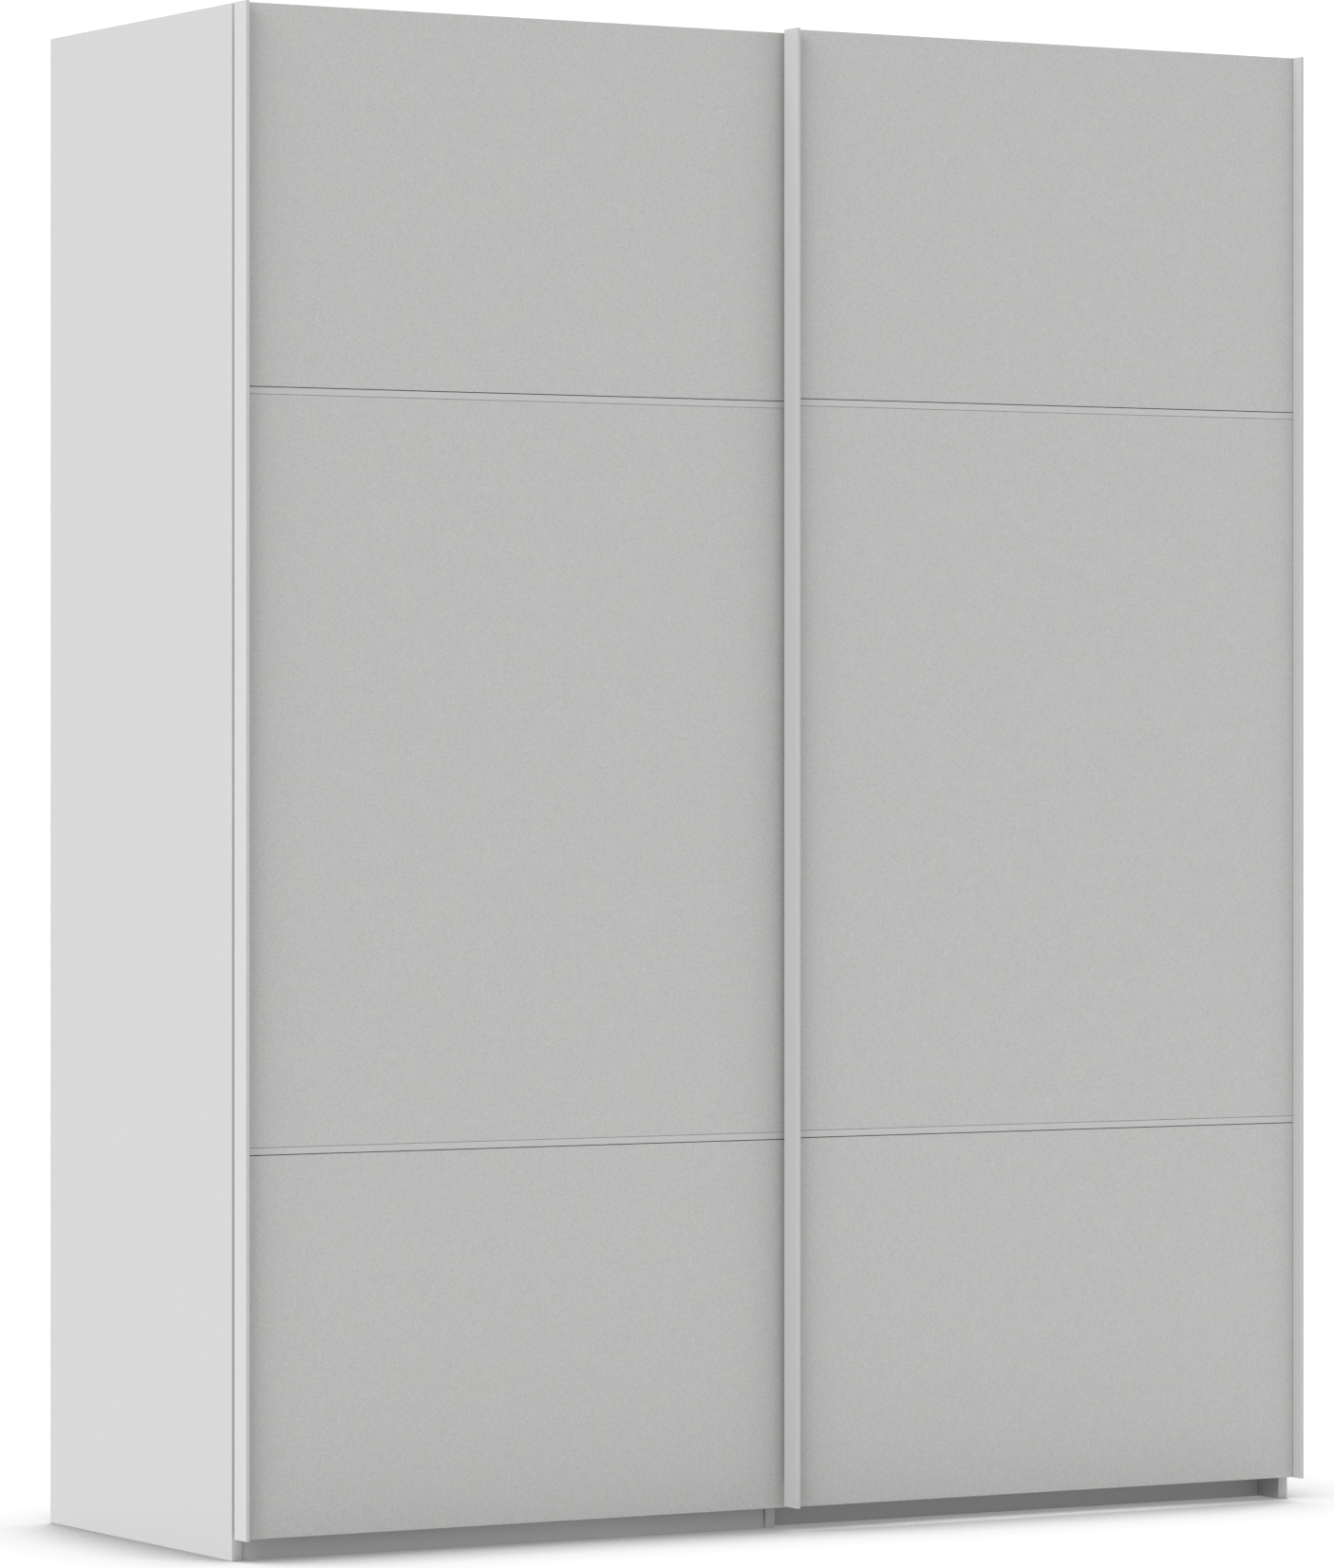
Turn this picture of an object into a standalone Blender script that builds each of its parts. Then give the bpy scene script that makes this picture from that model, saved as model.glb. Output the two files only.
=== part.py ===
"""Sliding door wardrobe with two top-hung doors that run in two lanes.

Units are metres and +Z is up. The origin is on the floor, at the middle of the
bounding box. -Y is the front, and the rear door covers the left half.
"""

import math

import bmesh
import bpy
from mathutils import Matrix, Vector

# Overall sizes
WIDTH = 1.709
CARCASS_HEIGHT = 2.100
LEFT_PANEL_DEPTH = 0.572
RIGHT_PANEL_EXTRA = 0.026  # how much further forward the right panel reaches
BOARD = 0.015
GAP = 0.0003  # play between pieces that touch
EDGE_RADIUS = 0.0005

# Doors
DOOR_WIDTH = 0.8614
DOOR_HEIGHT = 2.0696
DOOR_BOARD = 0.016
LANE_PITCH = 0.0267  # from the rear lane to the front lane
REAR_FACE = 0.0230  # from the carcass front to the face of the rear door
REAR_DOOR_BOTTOM = 0.0303
FRONT_DOOR_LIFT = 0.003  # how much higher the front door is hung
FIELD_END = 0.517  # height of the top and bottom fields of a door
DIVIDER_PITCH = 0.010
DIVIDER_GAP = 0.001  # open joint on the outer side of each divider
STRIP_WIDTH = 0.0056
STRIP_PROUD = 0.0188  # how far a grip strip stands out from the door face
STRIP_BEHIND = 0.0008  # how far a strip reaches behind the board
STRIP_LONGER = 0.0005  # how far a strip passes the board at each end

# Carcass details
PARTITION_LEFT = -0.0177
PLINTH_HEIGHT = 0.065
LEFT_PLINTH_SETBACK = 0.0032
RIGHT_PLINTH_SETBACK = 0.0240
REAR_PLINTH_SETBACK = 0.080
SHELF_SETBACK = 0.035
TOP_SETBACK = 0.030
FASCIA_BOTTOM = 2.020
BACK_BOARD = 0.003
BACK_INSET = 0.0015
BACK_SPLIT = 1.050
JOINT_FLANGE = 0.0008
JOINT_REACH = 0.007
JOINT_WEB = 0.0012
TOP_SHELF = 1.700  # underside of the highest shelf on both sides
RIGHT_SHELVES = 4

# Clothes rail
RAIL_HEIGHT = 1.645
RAIL_HALF_HEIGHT = 0.015
RAIL_HALF_DEPTH = 0.0075
RAIL_WALL = 0.0012
BRACKET_PLATE = 0.003
BRACKET_CUP = 0.012
BRACKET_RIM = 0.003
BRACKET_FLANGE = 0.008

# Running track, measured back from the carcass front
TRACK_FRONT = 0.0005
TRACK_BACK = 0.0297
TRACK_SHEET = 0.002
TRACK_BOTTOM = 2.050
TRACK_TOP = 2.098
REAR_LANE = 0.00375
FRONT_LANE = 0.01775
STOP_LENGTH = 0.012
STOP_TOP = 2.088
STOP_PLAY = 0.0015

# Rollers and hangers
AXLE_HEIGHT = 2.080
ROLLER_RADIUS = 0.014
GROOVE_RADIUS = 0.0125
GROOVE_WIDTH = 0.003
ROLLER_WIDTH = 0.0065
PIN_RADIUS = 0.003
HEAD_RADIUS = 0.0048
HEAD_THICKNESS = 0.0012
HANGER_FROM_EDGE = 0.100
PLATE_HALF_WIDTH = 0.025
PLATE_THICKNESS = 0.002
PLATE_BOTTOM = 2.030
REAR_PLATE_TOP = 2.095
LEG_HALF_WIDTH = 0.012
STRAP_BOTTOM = 2.1005
STRAP_TOP = 2.1020
LEG_BACK = 0.0125
LEG_BOTTOM = 2.068
CAM_HEIGHT = 2.043
CAM_RADIUS = 0.006
CAM_THICKNESS = 0.0022
RECESS_REACH = 0.7  # share of the head radius that the cross recess takes
RECESS_WIDTH = 0.0014
TRAVEL = 0.830  # how far each door slides

# Bottom guides: a T in a T-shaped slot cut in the back of each lower door board
SLOT_ABOVE_EDGE = 0.020
NECK_SLOT = 0.005
NECK_DEPTH = 0.005
HEAD_SLOT = 0.011
HEAD_DEPTH = 0.0042
NECK_HEIGHT = 0.0036
TEE_HEIGHT = 0.009
TEE_THICKNESS = 0.003
TEE_PLAY = 0.0004
TEE_INSET = 0.08  # share of the plate width left free on each side of the T
GUIDE_PLATE = 0.0025
GUIDE_PLATE_HEIGHT = 0.032
BLOCK_WIDTH = 0.010
SHOE_WIDTH = 0.006
SHOE_FROM_EDGE = 0.001

ROUND_STEPS = 40
SCREW_STEPS = 24

# Planes that follow from the sizes above
HALF_WIDTH = WIDTH / 2
DEPTH = LEFT_PANEL_DEPTH + REAR_FACE + STRIP_PROUD + LANE_PITCH
BACK = DEPTH / 2
FRONT = BACK - LEFT_PANEL_DEPTH
INNER_LEFT = -HALF_WIDTH + BOARD
INNER_RIGHT = HALF_WIDTH - BOARD
PARTITION_RIGHT = PARTITION_LEFT + BOARD
BACK_BOARD_FRONT = BACK - BACK_INSET - BACK_BOARD
CARCASS_REAR = BACK_BOARD_FRONT - GAP
FLOOR_TOP = PLINTH_HEIGHT + BOARD
TOP_UNDERSIDE = CARCASS_HEIGHT - BOARD
RIB_TOP = AXLE_HEIGHT - GROOVE_RADIUS - GAP
RIB_HALF = TRACK_SHEET / 2

COLOURS = {
    "carcass_board": (0.42, 0.42, 0.42, 0.45, 0.0),
    "door_board": (0.42, 0.42, 0.41, 0.45, 0.0),
    "grip_profile": (0.44, 0.44, 0.44, 0.38, 0.0),
    "back_board": (0.46, 0.46, 0.45, 0.60, 0.0),
    "aluminium": (0.72, 0.73, 0.74, 0.32, 1.0),
    "zinc_steel": (0.60, 0.61, 0.62, 0.35, 1.0),
    "chrome_tube": (0.80, 0.80, 0.81, 0.15, 1.0),
    "nylon": (0.80, 0.80, 0.78, 0.45, 0.0),
    "black_rubber": (0.03, 0.03, 0.03, 0.70, 0.0),
}


def clear_scene():
    for old in list(bpy.data.objects):
        bpy.data.objects.remove(old, do_unlink=True)


def new_collection(name, hidden=False):
    collection = bpy.data.collections.new(name)
    bpy.context.scene.collection.children.link(collection)
    collection.hide_render = hidden
    return collection


def material(name):
    found = bpy.data.materials.get(name)
    if found:
        return found
    red, green, blue, roughness, metallic = COLOURS[name]
    made = bpy.data.materials.new(name)
    made.use_nodes = True
    shader = made.node_tree.nodes["Principled BSDF"]
    shader.inputs["Base Color"].default_value = (red, green, blue, 1.0)
    shader.inputs["Roughness"].default_value = roughness
    shader.inputs["Metallic"].default_value = metallic
    return made


def mesh_object(name, shape, origin, look):
    """An object from a bmesh whose points are in world space, with its own origin where given."""
    bmesh.ops.translate(shape, verts=shape.verts, vec=-Vector(origin))
    data = bpy.data.meshes.new(name)
    shape.to_mesh(data)
    shape.free()
    return place(bpy.data.objects.new(name, data), origin, look)


def place(made, origin, look):
    made.location = origin
    wardrobe.objects.link(made)
    if look:
        made.data.materials.append(material(look))
    return made


def round_shading(made):
    made.data.shade_smooth()
    made.data.set_sharp_from_angle(angle=math.radians(30))
    return made


def soften(thing):
    bevel = thing.modifiers.new("Soft edges", "BEVEL")
    bevel.width = EDGE_RADIUS
    bevel.segments = 1
    bevel.limit_method = "ANGLE"
    return thing


def plain_box(name, x, y, z, look=None):
    """A box between the two limits given on each axis."""
    shape = bmesh.new()
    bmesh.ops.create_cube(shape, size=1.0)
    middle = Vector([(limits[0] + limits[1]) / 2 for limits in (x, y, z)])
    spans = [limits[1] - limits[0] for limits in (x, y, z)]
    bmesh.ops.scale(shape, vec=spans, verts=shape.verts)
    bmesh.ops.translate(shape, verts=shape.verts, vec=middle)
    return mesh_object(name, shape, middle, look)


def banded_board(name, x, y, z, look):
    """A box with its edges taken off, as an edge-banded board has them."""
    return soften(plain_box(name, x, y, z, look))


def extrusion(name, outline, x, look):
    """A flat outline of (y, z) corners drawn out along X between the two limits."""
    curve = bpy.data.curves.new(name, "CURVE")
    curve.dimensions = "2D"
    curve.fill_mode = "BOTH"
    curve.extrude = (x[1] - x[0]) / 2
    line = curve.splines.new("POLY")
    line.points.add(len(outline) - 1)
    for point, (y, z) in zip(line.points, outline):
        point.co = (y, z, 0.0, 1.0)
    line.use_cyclic_u = True
    made = place(bpy.data.objects.new(name, curve), ((x[0] + x[1]) / 2, 0.0, 0.0), look)
    made.rotation_euler = (math.pi / 2, 0.0, math.pi / 2)
    return made


def turned(name, profile, centre, look):
    """A closed profile of (distance from the centre along Y, radius) corners, turned about Y."""
    data = bpy.data.meshes.new(name)
    corners = [(radius, 0.0, y) for y, radius in profile]
    sides = [(i, (i + 1) % len(corners)) for i in range(len(corners))]
    data.from_pydata(corners, sides, [])
    made = place(bpy.data.objects.new(name, data), centre, look)
    made.rotation_euler = (-math.pi / 2, 0.0, 0.0)
    turn = made.modifiers.new("Turn", "SCREW")
    turn.axis = "Z"
    turn.steps = ROUND_STEPS
    turn.render_steps = ROUND_STEPS
    turn.use_merge_vertices = True
    turn.merge_threshold = 0.0001
    return made


def round_bar(name, y, radius, centre, look=None, steps=ROUND_STEPS):
    """A solid round bar along Y between the two limits."""
    shape = bmesh.new()
    bmesh.ops.create_cone(
        shape, cap_ends=True, segments=steps, radius1=radius, radius2=radius, depth=y[1] - y[0]
    )
    bmesh.ops.rotate(shape, verts=shape.verts, cent=(0, 0, 0), matrix=Matrix.Rotation(math.pi / 2, 3, "X"))
    bmesh.ops.translate(shape, verts=shape.verts, vec=(centre[0], (y[0] + y[1]) / 2, centre[2]))
    return round_shading(mesh_object(name, shape, centre, look))


def as_cutter(thing):
    wardrobe.objects.unlink(thing)
    cutters.objects.link(thing)
    thing.hide_render = True
    thing.display_type = "WIRE"
    return thing


def combine(target, other, operation):
    """Adds one Boolean whose other shape is kept out of the render."""
    as_cutter(other)
    step = target.modifiers.new(operation.title(), "BOOLEAN")
    step.operation = operation
    step.solver = "EXACT"
    step.object = other
    return target


def at(distance):
    """Y of a plane this far behind the carcass front, or in front of it when negative."""
    return FRONT + distance


def build_boards():
    """The side panels, partition, floors, top, plinths and fascias."""
    left_depth = (FRONT, BACK)
    right_depth = (FRONT - RIGHT_PANEL_EXTRA, BACK)
    full_height = (0.0, CARCASS_HEIGHT)
    banded_board("side_panel_left", (-HALF_WIDTH, INNER_LEFT), left_depth, full_height, "carcass_board")
    banded_board("side_panel_right", (INNER_RIGHT, HALF_WIDTH), right_depth, full_height, "carcass_board")

    partition_x = (PARTITION_LEFT, PARTITION_RIGHT)
    partition = banded_board(
        "centre_partition", partition_x, (FRONT, CARCASS_REAR), (0.0, TOP_UNDERSIDE - GAP), "carcass_board"
    )
    notch = plain_box(
        "partition_notch",
        (PARTITION_LEFT - BOARD, PARTITION_RIGHT + BOARD),
        (FRONT - BOARD, at(TOP_SETBACK + BOARD + GAP)),
        (FASCIA_BOTTOM - GAP, CARCASS_HEIGHT),
    )
    combine(partition, notch, "DIFFERENCE")

    banded_board(
        "top_panel",
        (INNER_LEFT + GAP, INNER_RIGHT - GAP),
        (at(TOP_SETBACK), CARCASS_REAR),
        (TOP_UNDERSIDE, CARCASS_HEIGHT),
        "carcass_board",
    )
    sides = {
        "left": (INNER_LEFT + GAP, PARTITION_LEFT - GAP, LEFT_PLINTH_SETBACK),
        "right": (PARTITION_RIGHT + GAP, INNER_RIGHT - GAP, RIGHT_PLINTH_SETBACK),
    }
    for side, (start, end, setback) in sides.items():
        across = (start, end)
        under_floor = (0.0, PLINTH_HEIGHT - GAP)
        banded_board(
            "bottom_panel_" + side,
            across,
            (at(setback), CARCASS_REAR),
            (PLINTH_HEIGHT, FLOOR_TOP),
            "carcass_board",
        )
        plinth_y = (at(setback), at(setback + BOARD))
        banded_board("plinth_" + side, across, plinth_y, under_floor, "carcass_board")
        rear = CARCASS_REAR - REAR_PLINTH_SETBACK
        banded_board("rear_plinth_" + side, across, (rear - BOARD, rear), under_floor, "carcass_board")
    fascia_z = (FASCIA_BOTTOM, TOP_UNDERSIDE - GAP)
    fascia_y = (at(TOP_SETBACK), at(TOP_SETBACK + BOARD))
    middle = (PARTITION_LEFT + PARTITION_RIGHT) / 2
    banded_board("fascia_left", (INNER_LEFT + GAP, middle - GAP / 2), fascia_y, fascia_z, "carcass_board")
    banded_board("fascia_right", (middle + GAP / 2, INNER_RIGHT - GAP), fascia_y, fascia_z, "carcass_board")


def build_back():
    """Four thin back boards, joined across each half by an H-section strip."""
    middle = (PARTITION_LEFT + PARTITION_RIGHT) / 2
    board_y = (BACK_BOARD_FRONT, BACK_BOARD_FRONT + BACK_BOARD)
    lower = (GAP, BACK_SPLIT - JOINT_WEB / 2 - GAP)
    upper = (BACK_SPLIT + JOINT_WEB / 2 + GAP, CARCASS_HEIGHT - GAP)
    halves = {"left": (INNER_LEFT + GAP, middle - GAP / 2), "right": (middle + GAP / 2, INNER_RIGHT - GAP)}
    for side, across in halves.items():
        plain_box("back_panel_lower_" + side, across, board_y, lower, "back_board")
        plain_box("back_panel_upper_" + side, across, board_y, upper, "back_board")

    front = board_y[0] - GAP
    rear = board_y[1] + GAP
    web = JOINT_WEB / 2
    outline = [
        (front - JOINT_FLANGE, -JOINT_REACH),
        (front, -JOINT_REACH),
        (front, -web),
        (rear, -web),
        (rear, -JOINT_REACH),
        (rear + JOINT_FLANGE, -JOINT_REACH),
        (rear + JOINT_FLANGE, JOINT_REACH),
        (rear, JOINT_REACH),
        (rear, web),
        (front, web),
        (front, JOINT_REACH),
        (front - JOINT_FLANGE, JOINT_REACH),
    ]
    section = [(y, z + BACK_SPLIT) for y, z in outline]
    lengths = {
        "left": (INNER_LEFT + GAP, PARTITION_LEFT - GAP),
        "right": (PARTITION_RIGHT + GAP, INNER_RIGHT - GAP),
    }
    for side, across in lengths.items():
        extrusion("back_joint_" + side, section, across, "nylon")


def build_shelves():
    """A hat shelf on the left, and evenly spaced shelves under the same height on the right."""
    depth = (at(SHELF_SETBACK), CARCASS_REAR)
    left = (INNER_LEFT + GAP, PARTITION_LEFT - GAP)
    right = (PARTITION_RIGHT + GAP, INNER_RIGHT - GAP)
    banded_board("hat_shelf_left", left, depth, (TOP_SHELF, TOP_SHELF + BOARD), "carcass_board")
    pitch = (TOP_SHELF + BOARD - FLOOR_TOP) / RIGHT_SHELVES
    for number in range(1, RIGHT_SHELVES + 1):
        top = FLOOR_TOP + number * pitch
        banded_board("shelf_right_" + str(number), right, depth, (top - BOARD, top), "carcass_board")


def oval(name, x, half_depth, half_height, look=None):
    """An oval bar along X, centred on the clothes rail."""
    shape = bmesh.new()
    bmesh.ops.create_cone(
        shape, cap_ends=True, segments=ROUND_STEPS, radius1=1, radius2=1, depth=x[1] - x[0]
    )
    bmesh.ops.rotate(shape, verts=shape.verts, cent=(0, 0, 0), matrix=Matrix.Rotation(math.pi / 2, 3, "Y"))
    bmesh.ops.scale(shape, vec=(1, half_depth, half_height), verts=shape.verts)
    centre = ((x[0] + x[1]) / 2, (FRONT + BACK) / 2, RAIL_HEIGHT)
    bmesh.ops.translate(shape, verts=shape.verts, vec=centre)
    return mesh_object(name, shape, centre, look)


def build_rail():
    """The oval clothes rail and the two cups that hold it."""
    start = INNER_LEFT + GAP
    end = PARTITION_LEFT - GAP
    inner_start = start + BRACKET_PLATE + GAP
    inner_end = end - BRACKET_PLATE - GAP
    rail = oval("clothes_rail", (inner_start, inner_end), RAIL_HALF_DEPTH, RAIL_HALF_HEIGHT, "chrome_tube")
    bore = oval(
        "rail_bore",
        (start - BOARD, end + BOARD),
        RAIL_HALF_DEPTH - RAIL_WALL,
        RAIL_HALF_HEIGHT - RAIL_WALL,
    )
    combine(rail, bore, "DIFFERENCE")

    clear_depth = RAIL_HALF_DEPTH + GAP
    clear_height = RAIL_HALF_HEIGHT + GAP
    plates = {"left": (start, start + BRACKET_PLATE, 1), "right": (end - BRACKET_PLATE, end, -1)}
    for side, (near, far, inward) in plates.items():
        name = "rail_bracket_" + side
        face = far if inward > 0 else near
        lip = face + inward * BRACKET_CUP
        reach = (face - inward * BRACKET_PLATE / 2, lip)
        plate = oval(
            name, (near, far), clear_depth + BRACKET_FLANGE, clear_height + BRACKET_FLANGE, "zinc_steel"
        )
        cup = oval(
            name + "_cup", (min(reach), max(reach)), clear_depth + BRACKET_RIM, clear_height + BRACKET_RIM
        )
        combine(plate, cup, "UNION")
        hollow = oval(
            name + "_hollow",
            (min(face, lip + inward * BRACKET_RIM), max(face, lip + inward * BRACKET_RIM)),
            clear_depth,
            clear_height,
        )
        combine(plate, hollow, "DIFFERENCE")


def track_outline():
    """Section of the running track: floor, two ribs that the rollers ride on, and the back flange."""
    floor_top = TRACK_BOTTOM + TRACK_SHEET
    outline = [(TRACK_FRONT, TRACK_BOTTOM), (TRACK_BACK, TRACK_BOTTOM), (TRACK_BACK, TRACK_TOP)]
    outline += [(TRACK_BACK - TRACK_SHEET, TRACK_TOP), (TRACK_BACK - TRACK_SHEET, floor_top)]
    for lane in (FRONT_LANE, REAR_LANE):
        outline += [(lane + RIB_HALF, floor_top), (lane + RIB_HALF, RIB_TOP)]
        outline += [(lane - RIB_HALF, RIB_TOP), (lane - RIB_HALF, floor_top)]
    outline.append((TRACK_FRONT, floor_top))
    return [(at(y), z) for y, z in outline]


def build_track():
    across = (INNER_LEFT + GAP, INNER_RIGHT - GAP)
    extrusion("running_track", track_outline(), across, "aluminium")

    reach = ROLLER_RADIUS + STOP_PLAY
    near_edge = HALF_WIDTH - HANGER_FROM_EDGE
    far_edge = DOOR_WIDTH - HANGER_FROM_EDGE - HALF_WIDTH + TRAVEL
    starts = {
        "rear_left": (-near_edge - reach - STOP_LENGTH, REAR_LANE),
        "rear_right": (far_edge + reach, REAR_LANE),
        "front_left": (-far_edge - reach - STOP_LENGTH, FRONT_LANE),
        "front_right": (near_edge + reach, FRONT_LANE),
    }
    for name, (start, lane) in starts.items():
        half = ROLLER_WIDTH / 2
        floor_top = TRACK_BOTTOM + TRACK_SHEET + GAP
        stop = plain_box(
            "track_stop_" + name,
            (start, start + STOP_LENGTH),
            (at(lane - half), at(lane + half)),
            (floor_top, STOP_TOP),
            "black_rubber",
        )
        slot = plain_box(
            "track_stop_" + name + "_slot",
            (start - STOP_LENGTH, start + 2 * STOP_LENGTH),
            (at(lane - RIB_HALF - GAP), at(lane + RIB_HALF + GAP)),
            (TRACK_BOTTOM, RIB_TOP + GAP),
        )
        combine(stop, slot, "DIFFERENCE")


def tee_guide(name, x, mount_y, door_back, height, look):
    """A plate screwed on at mount_y, with a T that runs in the slot of the door in front of it."""
    inset = (x[1] - x[0]) * TEE_INSET
    inner_x = (x[0] + inset, x[1] - inset)
    front_of_plate = mount_y - GAP - GUIDE_PLATE
    tee_back = door_back - NECK_DEPTH - TEE_PLAY
    half_plate = GUIDE_PLATE_HEIGHT / 2
    guide = plain_box(
        name, x, (front_of_plate, mount_y - GAP), (height - half_plate, height + half_plate), look
    )
    neck = plain_box(
        name + "_neck",
        inner_x,
        (tee_back - TEE_THICKNESS / 2, front_of_plate + GUIDE_PLATE / 2),
        (height - NECK_HEIGHT / 2, height + NECK_HEIGHT / 2),
    )
    tee = plain_box(
        name + "_tee",
        inner_x,
        (tee_back - TEE_THICKNESS, tee_back),
        (height - TEE_HEIGHT / 2, height + TEE_HEIGHT / 2),
    )
    combine(guide, neck, "UNION")
    combine(guide, tee, "UNION")


def cut_slot(board, x, back, height):
    """Cuts the T-shaped guide slot along the back of a lower door board."""
    neck = plain_box(
        board.name + "_slot_neck",
        x,
        (back - NECK_DEPTH - HEAD_DEPTH / 2, back + DOOR_BOARD),
        (height - NECK_SLOT / 2, height + NECK_SLOT / 2),
    )
    head = plain_box(
        board.name + "_slot_head",
        x,
        (back - NECK_DEPTH - HEAD_DEPTH, back - NECK_DEPTH),
        (height - HEAD_SLOT / 2, height + HEAD_SLOT / 2),
    )
    combine(board, neck, "DIFFERENCE")
    combine(board, head, "DIFFERENCE")


def build_door(prefix, left, face, bottom, right_strip_front):
    """The boards, dividers and strips of one door. Returns the Y of its back and its slot height."""
    right = left + DOOR_WIDTH
    back = face + DOOR_BOARD
    top = bottom + DOOR_HEIGHT
    across = (left + STRIP_WIDTH + GAP, right - STRIP_WIDTH - GAP)
    thickness = (face, back)
    half_open = DIVIDER_GAP / 2
    half_tight = GAP / 2
    lower_joint = bottom + FIELD_END
    upper_joint = top - FIELD_END
    heights = {
        "panel_lower": (bottom, lower_joint - half_open),
        "divider_lower": (lower_joint + half_open, lower_joint + DIVIDER_PITCH - half_tight),
        "panel_middle": (
            lower_joint + DIVIDER_PITCH + half_tight,
            upper_joint - DIVIDER_PITCH - half_tight,
        ),
        "divider_upper": (upper_joint - DIVIDER_PITCH + half_tight, upper_joint - half_open),
        "panel_upper": (upper_joint + half_open, top),
    }
    for piece, height in heights.items():
        look = "grip_profile" if piece.startswith("divider") else "door_board"
        made = banded_board(prefix + "_" + piece, across, thickness, height, look)
        if piece == "panel_lower":
            slot_x = (left - BOARD, right + BOARD)
            cut_slot(made, slot_x, back, bottom + SLOT_ABOVE_EDGE)

    length = (bottom - STRIP_LONGER, top + STRIP_LONGER)
    behind = back + STRIP_BEHIND
    left_depth = (face - STRIP_PROUD, behind)
    banded_board(prefix + "_strip_left", (left, left + STRIP_WIDTH), left_depth, length, "grip_profile")
    right_length = length if right_strip_front < face else (bottom, top)
    banded_board(
        prefix + "_strip_right",
        (right - STRIP_WIDTH, right),
        (right_strip_front, behind),
        right_length,
        "grip_profile",
    )
    return back, bottom + SLOT_ABOVE_EDGE


def build_cam(name, x, plate_back):
    """A height screw: a slotted head behind the hanger plate and a shank in the plate's hole."""
    centre = (x, plate_back, CAM_HEIGHT)
    head_front = plate_back + GAP
    head_back = head_front + CAM_THICKNESS
    screw = round_bar(name, (head_front, head_back), CAM_RADIUS, centre, "zinc_steel", steps=SCREW_STEPS)
    shank_y = (plate_back - PLATE_THICKNESS + GAP, head_front + CAM_THICKNESS / 2)
    shank = round_bar(name + "_shank", shank_y, PIN_RADIUS, centre, steps=SCREW_STEPS)
    combine(screw, shank, "UNION")
    recess_y = (head_front + CAM_THICKNESS / 2, head_back + CAM_THICKNESS)
    long_half = CAM_RADIUS * RECESS_REACH
    thin_half = RECESS_WIDTH / 2
    for number, (half_x, half_z) in enumerate(((long_half, thin_half), (thin_half, long_half))):
        recess = plain_box(
            name + "_recess_" + str(number),
            (x - half_x, x + half_x),
            recess_y,
            (CAM_HEIGHT - half_z, CAM_HEIGHT + half_z),
        )
        combine(screw, recess, "DIFFERENCE")


def build_hanger(name, x, plate_front, pin_from, lane, top, over_rear_door):
    """The plate on the back of a door and the pin that its roller turns on."""
    plate_back = plate_front + PLATE_THICKNESS
    plate = plain_box(
        name,
        (x - PLATE_HALF_WIDTH, x + PLATE_HALF_WIDTH),
        (plate_front, plate_back),
        (PLATE_BOTTOM, top),
        "zinc_steel",
    )
    if over_rear_door:
        leg_y = (at(LEG_BACK) - PLATE_THICKNESS, at(LEG_BACK))
        leg_x = (x - LEG_HALF_WIDTH, x + LEG_HALF_WIDTH)
        strap = plain_box(name + "_strap", leg_x, (plate_front, leg_y[1]), (STRAP_BOTTOM, STRAP_TOP))
        leg = plain_box(name + "_leg", leg_x, leg_y, (LEG_BOTTOM, STRAP_TOP))
        combine(plate, strap, "UNION")
        combine(plate, leg, "UNION")
    axle = (x, at(lane), AXLE_HEIGHT)
    roller_back = at(lane) + ROLLER_WIDTH / 2
    head = (roller_back + GAP, roller_back + GAP + HEAD_THICKNESS)
    combine(plate, round_bar(name + "_pin", (pin_from, head[1]), PIN_RADIUS, axle), "UNION")
    combine(plate, round_bar(name + "_head", head, HEAD_RADIUS, axle), "UNION")
    hole = round_bar(
        name + "_cam_hole",
        (plate_front - BOARD, plate_back + BOARD),
        PIN_RADIUS + GAP,
        (x, plate_back, CAM_HEIGHT),
        steps=SCREW_STEPS,
    )
    combine(plate, hole, "DIFFERENCE")
    return plate_back


def build_roller(name, x, lane):
    """A grooved roller with a round bore that runs on one rib of the track."""
    half = ROLLER_WIDTH / 2
    groove = GROOVE_WIDTH / 2
    bore = PIN_RADIUS + GAP
    profile = [
        (half, bore),
        (half, ROLLER_RADIUS - EDGE_RADIUS),
        (half - EDGE_RADIUS, ROLLER_RADIUS),
        (groove, ROLLER_RADIUS),
        (groove, GROOVE_RADIUS),
        (-groove, GROOVE_RADIUS),
        (-groove, ROLLER_RADIUS),
        (EDGE_RADIUS - half, ROLLER_RADIUS),
        (-half, ROLLER_RADIUS - EDGE_RADIUS),
        (-half, bore),
    ]
    turned(name, profile, (x, at(lane), AXLE_HEIGHT), "nylon")


def build_running_gear(prefix, left, door_back, lane, over_rear_door):
    """Two hangers with their rollers and height screws."""
    plate_front = door_back + GAP
    top = STRAP_TOP if over_rear_door else REAR_PLATE_TOP
    pin_from = at(LEG_BACK) - PLATE_THICKNESS / 2 if over_rear_door else plate_front + PLATE_THICKNESS / 2
    places = {"left": left + HANGER_FROM_EDGE, "right": left + DOOR_WIDTH - HANGER_FROM_EDGE}
    for side, x in places.items():
        plate_back = build_hanger(
            prefix + "_hanger_" + side, x, plate_front, pin_from, lane, top, over_rear_door
        )
        build_roller(prefix + "_roller_" + side, x, lane)
        build_cam(prefix + "_cam_" + side, x, plate_back)


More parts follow.
